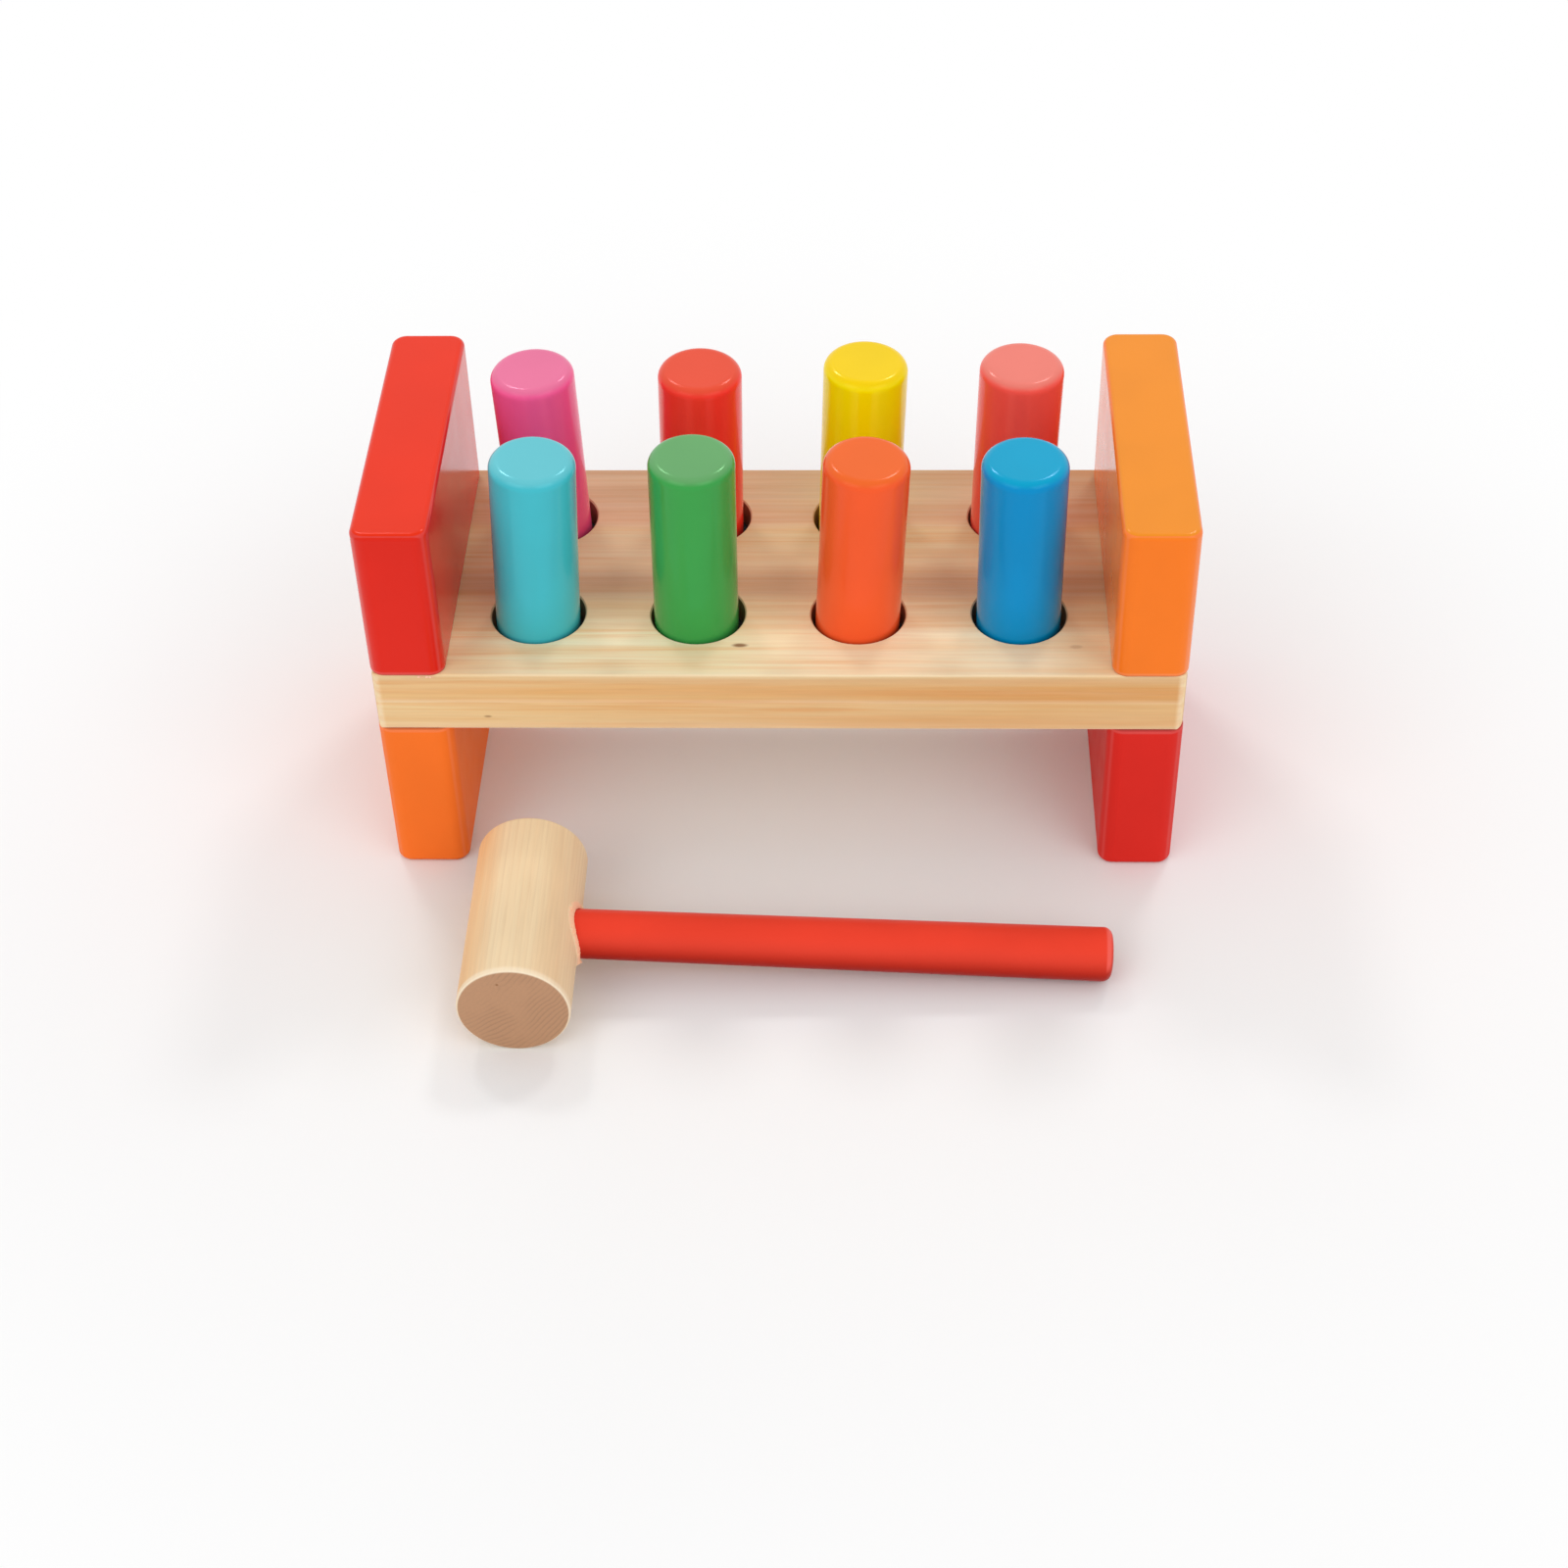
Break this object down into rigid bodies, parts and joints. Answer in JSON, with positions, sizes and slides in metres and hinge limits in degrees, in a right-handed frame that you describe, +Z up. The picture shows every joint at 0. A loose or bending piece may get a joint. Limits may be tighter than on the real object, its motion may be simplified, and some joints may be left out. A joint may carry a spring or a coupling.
{
  "type": "peg pounding bench",
  "caption": "Wooden pounding bench: round pegs slide through a thick deck that grips them with rubber rings, between painted end blocks, with a wooden mallet lying in front.",
  "frame": {"origin": "on the floor, in the middle of the box round bench and mallet", "axes": "+X along the bench towards the right end, +Y from the mallet towards the back of the bench, +Z up"},
  "size_m": [0.241, 0.1808, 0.136],
  "materials": {
    "deck_wood_upper": "planed pale pine, clear satin",
    "deck_wood_lower": "planed pale pine, clear satin",
    "red_lacquer": "gloss lacquer on wood",
    "orange_lacquer": "gloss lacquer on wood",
    "dowel_wood": "bare turned beech",
    "ring_rubber": "soft black rubber",
    "turquoise_lacquer": "satin lacquer on wood",
    "green_lacquer": "satin lacquer on wood",
    "vermilion_lacquer": "satin lacquer on wood",
    "blue_lacquer": "satin lacquer on wood",
    "pink_lacquer": "satin lacquer on wood",
    "peg_red_lacquer": "satin lacquer on wood",
    "yellow_lacquer": "satin lacquer on wood",
    "coral_lacquer": "satin lacquer on wood",
    "mallet_wood": "bare turned pale wood",
    "handle_lacquer": "satin lacquer on wood"
  },
  "bodies": {
    "bench": {"deck_upper_board": "deck_wood_upper", "deck_lower_board": "deck_wood_lower", "upper_block_left": "red_lacquer", "upper_block_right": "orange_lacquer", "lower_block_left": "orange_lacquer", "lower_block_right": "red_lacquer", "block_dowels": "dowel_wood", "grip_ring_front_1": "ring_rubber", "grip_ring_front_2": "ring_rubber", "grip_ring_front_3": "ring_rubber", "grip_ring_front_4": "ring_rubber", "grip_ring_back_1": "ring_rubber", "grip_ring_back_2": "ring_rubber", "grip_ring_back_3": "ring_rubber", "grip_ring_back_4": "ring_rubber"},
    "peg_front_1": {"peg_front_1": "turquoise_lacquer"},
    "peg_front_2": {"peg_front_2": "green_lacquer"},
    "peg_front_3": {"peg_front_3": "vermilion_lacquer"},
    "peg_front_4": {"peg_front_4": "blue_lacquer"},
    "peg_back_1": {"peg_back_1": "pink_lacquer"},
    "peg_back_2": {"peg_back_2": "peg_red_lacquer"},
    "peg_back_3": {"peg_back_3": "yellow_lacquer"},
    "peg_back_4": {"peg_back_4": "coral_lacquer"},
    "mallet": {"mallet_head": "mallet_wood", "mallet_handle": "handle_lacquer"}
  },
  "joints": [
    {"name": "slide_front_1", "type": "slide", "parent": "bench", "child": "peg_front_1", "axis": [0.0479, -0.0177, 0.9987], "range_m": [-0.05865, 0]},
    {"name": "slide_front_2", "type": "slide", "parent": "bench", "child": "peg_front_2", "axis": [0.0148, -0.0148, 0.9998], "range_m": [-0.05929, 0]},
    {"name": "slide_front_3", "type": "slide", "parent": "bench", "child": "peg_front_3", "axis": [0.0479, -0.0162, 0.9987], "range_m": [-0.05852, 0]},
    {"name": "slide_front_4", "type": "slide", "parent": "bench", "child": "peg_front_4", "axis": [-0.0015, -0.0148, 0.9999], "range_m": [-0.05808, 0]},
    {"name": "slide_back_1", "type": "slide", "parent": "bench", "child": "peg_back_1", "axis": [-0.0258, -0.0148, 0.9996], "range_m": [-0.0567, 0]},
    {"name": "slide_back_2", "type": "slide", "parent": "bench", "child": "peg_back_2", "axis": [0.0221, -0.0162, 0.9996], "range_m": [-0.05692, 0]},
    {"name": "slide_back_3", "type": "slide", "parent": "bench", "child": "peg_back_3", "axis": [0.0347, -0.0148, 0.9993], "range_m": [-0.05926, 0]},
    {"name": "slide_back_4", "type": "slide", "parent": "bench", "child": "peg_back_4", "axis": [0.0221, -0.0162, 0.9996], "range_m": [-0.05849, 0]},
    {"name": "mallet_lift", "type": "slide", "parent": "bench", "child": "mallet", "axis": [0, 0, 1], "range_m": [0, 0.15]}
  ]
}
